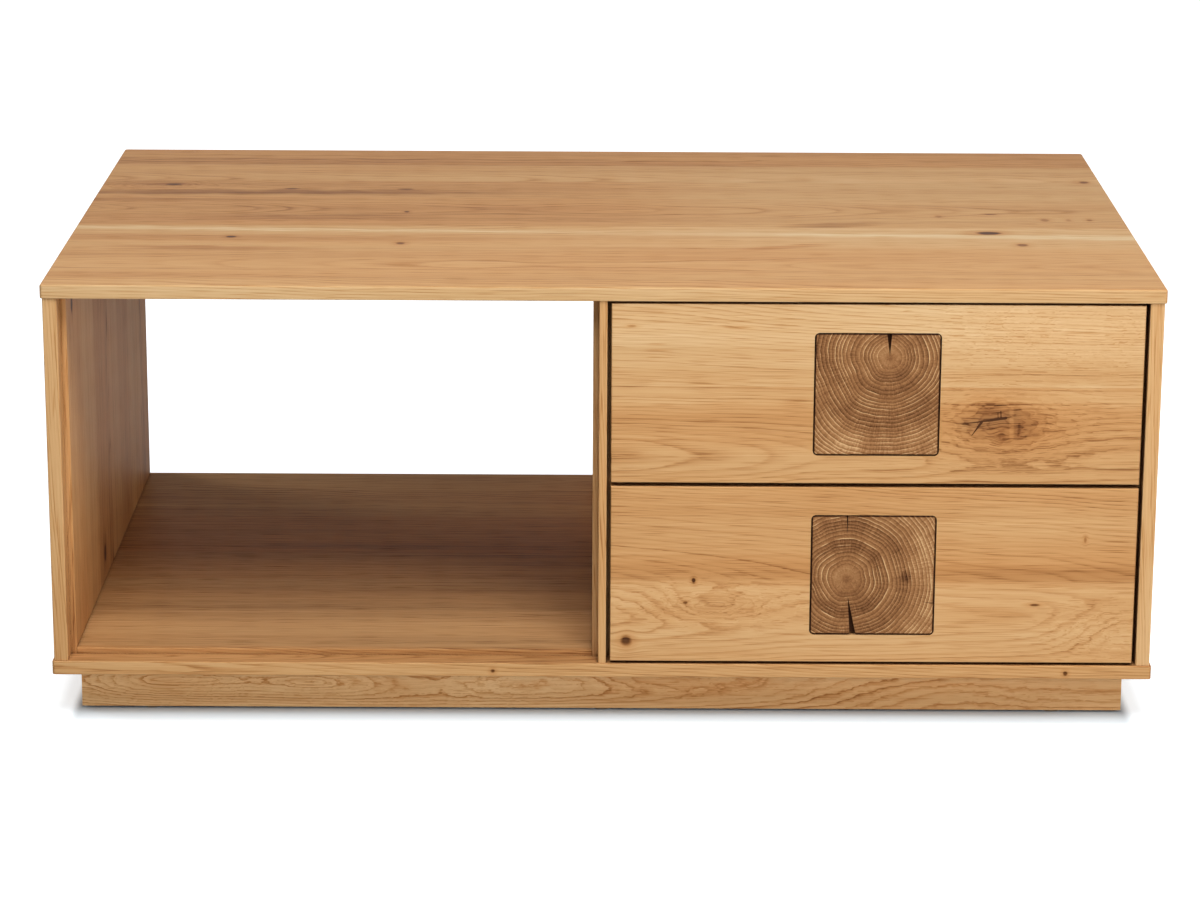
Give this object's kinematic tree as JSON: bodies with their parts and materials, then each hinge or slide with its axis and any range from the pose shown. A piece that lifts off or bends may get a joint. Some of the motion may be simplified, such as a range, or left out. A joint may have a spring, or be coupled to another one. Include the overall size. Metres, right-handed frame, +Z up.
{
  "type": "coffee table with drawers",
  "caption": "Low oak coffee table on a recessed plinth, with an open bay at the left and push-to-open drawers with square end-grain inlays at the right.",
  "frame": {"origin": "on the floor, under the middle of the table top", "axes": "+X to the right along the table, seen from the drawer side; +Y from the front to the back; +Z up. The drawers open towards -Y."},
  "size_m": [1.1, 0.7, 0.445],
  "materials": {
    "oak_top": "oiled oak, planks along the table",
    "oak_base": "oiled oak, planks along the table",
    "oak_sides": "oiled oak, upright grain",
    "oak_back": "oiled oak, planks along the table",
    "oak_plinth": "oiled oak, planks along the table",
    "plinth_softwood": "raw",
    "oak_fronts": "oiled oak with knots",
    "endgrain_oak": "oiled end grain with rings and drying splits",
    "drawer_box_wood": "clear lacquer",
    "beech_dowels": "raw",
    "felt": "pressed felt",
    "runner_steel": "bright zinc",
    "zinc_screws": "bright zinc",
    "cage_plastic": "matt",
    "push_plastic": "matt"
  },
  "bodies": {
    "carcass": {"top_panel": "oak_top", "base_panel": "oak_base", "left_side_panel": "oak_sides", "right_side_panel": "oak_sides", "divider_panel": "oak_sides", "back_panel": "oak_back", "plinth_front": "oak_plinth", "plinth_back": "oak_plinth", "plinth_left": "oak_plinth", "plinth_right": "oak_plinth", "plinth_brace": "plinth_softwood", "plinth_corner_blocks": "plinth_softwood", "felt_glides": "felt", "carcass_dowels": "beech_dowels", "plinth_screws": "zinc_screws", "runner_screws": "zinc_screws", "lower_left_outer_rail": "runner_steel", "lower_left_push_unit": "push_plastic", "lower_right_outer_rail": "runner_steel", "lower_right_push_unit": "push_plastic", "upper_left_outer_rail": "runner_steel", "upper_left_push_unit": "push_plastic", "upper_right_outer_rail": "runner_steel", "upper_right_push_unit": "push_plastic"},
    "lower_drawer": {"lower_drawer_front": "oak_fronts", "lower_endgrain_inlay": "endgrain_oak", "lower_box_front": "drawer_box_wood", "lower_box_back": "drawer_box_wood", "lower_box_left": "drawer_box_wood", "lower_box_right": "drawer_box_wood", "lower_bottom": "drawer_box_wood", "lower_drawer_screws": "zinc_screws", "lower_left_inner_rail": "runner_steel", "lower_right_inner_rail": "runner_steel"},
    "lower_middle_rails": {"lower_left_middle_rail": "runner_steel", "lower_right_middle_rail": "runner_steel"},
    "lower_outer_cage_set": {"lower_outer_cages": "cage_plastic"},
    "lower_inner_cage_set": {"lower_inner_cages": "cage_plastic"},
    "lower_push_rods": {"lower_left_push_rod": "push_plastic", "lower_right_push_rod": "push_plastic"},
    "upper_drawer": {"upper_drawer_front": "oak_fronts", "upper_endgrain_inlay": "endgrain_oak", "upper_box_front": "drawer_box_wood", "upper_box_back": "drawer_box_wood", "upper_box_left": "drawer_box_wood", "upper_box_right": "drawer_box_wood", "upper_bottom": "drawer_box_wood", "upper_drawer_screws": "zinc_screws", "upper_left_inner_rail": "runner_steel", "upper_right_inner_rail": "runner_steel"},
    "upper_middle_rails": {"upper_left_middle_rail": "runner_steel", "upper_right_middle_rail": "runner_steel"},
    "upper_outer_cage_set": {"upper_outer_cages": "cage_plastic"},
    "upper_inner_cage_set": {"upper_inner_cages": "cage_plastic"},
    "upper_push_rods": {"upper_left_push_rod": "push_plastic", "upper_right_push_rod": "push_plastic"}
  },
  "joints": [
    {"name": "lower_drawer_slide", "type": "slide", "parent": "carcass", "child": "lower_drawer", "axis": [0, -1, 0], "range_m": [-0.003, 0.4]},
    {"name": "lower_middle_rails_slide", "type": "slide", "parent": "carcass", "child": "lower_middle_rails", "axis": [0, -1, 0], "range_m": [-0.0015, 0.2]},
    {"name": "lower_outer_cage_set_slide", "type": "slide", "parent": "carcass", "child": "lower_outer_cage_set", "axis": [0, -1, 0], "range_m": [-0.00075, 0.1]},
    {"name": "lower_inner_cage_set_slide", "type": "slide", "parent": "carcass", "child": "lower_inner_cage_set", "axis": [0, -1, 0], "range_m": [-0.00225, 0.3]},
    {"name": "lower_push_rods_slide", "type": "slide", "parent": "carcass", "child": "lower_push_rods", "axis": [0, -1, 0], "range_m": [-0.00024, 0.032]},
    {"name": "upper_drawer_slide", "type": "slide", "parent": "carcass", "child": "upper_drawer", "axis": [0, -1, 0], "range_m": [-0.003, 0.4]},
    {"name": "upper_middle_rails_slide", "type": "slide", "parent": "carcass", "child": "upper_middle_rails", "axis": [0, -1, 0], "range_m": [-0.0015, 0.2]},
    {"name": "upper_outer_cage_set_slide", "type": "slide", "parent": "carcass", "child": "upper_outer_cage_set", "axis": [0, -1, 0], "range_m": [-0.00075, 0.1]},
    {"name": "upper_inner_cage_set_slide", "type": "slide", "parent": "carcass", "child": "upper_inner_cage_set", "axis": [0, -1, 0], "range_m": [-0.00225, 0.3]},
    {"name": "upper_push_rods_slide", "type": "slide", "parent": "carcass", "child": "upper_push_rods", "axis": [0, -1, 0], "range_m": [-0.00024, 0.032]}
  ],
  "couplings": [
    {"joint": "lower_middle_rails_slide", "follows": "lower_drawer_slide", "ratio": 0.5},
    {"joint": "lower_outer_cage_set_slide", "follows": "lower_drawer_slide", "ratio": 0.25},
    {"joint": "lower_inner_cage_set_slide", "follows": "lower_drawer_slide", "ratio": 0.75},
    {"joint": "lower_push_rods_slide", "follows": "lower_drawer_slide", "ratio": 0.08},
    {"joint": "upper_middle_rails_slide", "follows": "upper_drawer_slide", "ratio": 0.5},
    {"joint": "upper_outer_cage_set_slide", "follows": "upper_drawer_slide", "ratio": 0.25},
    {"joint": "upper_inner_cage_set_slide", "follows": "upper_drawer_slide", "ratio": 0.75},
    {"joint": "upper_push_rods_slide", "follows": "upper_drawer_slide", "ratio": 0.08}
  ]
}
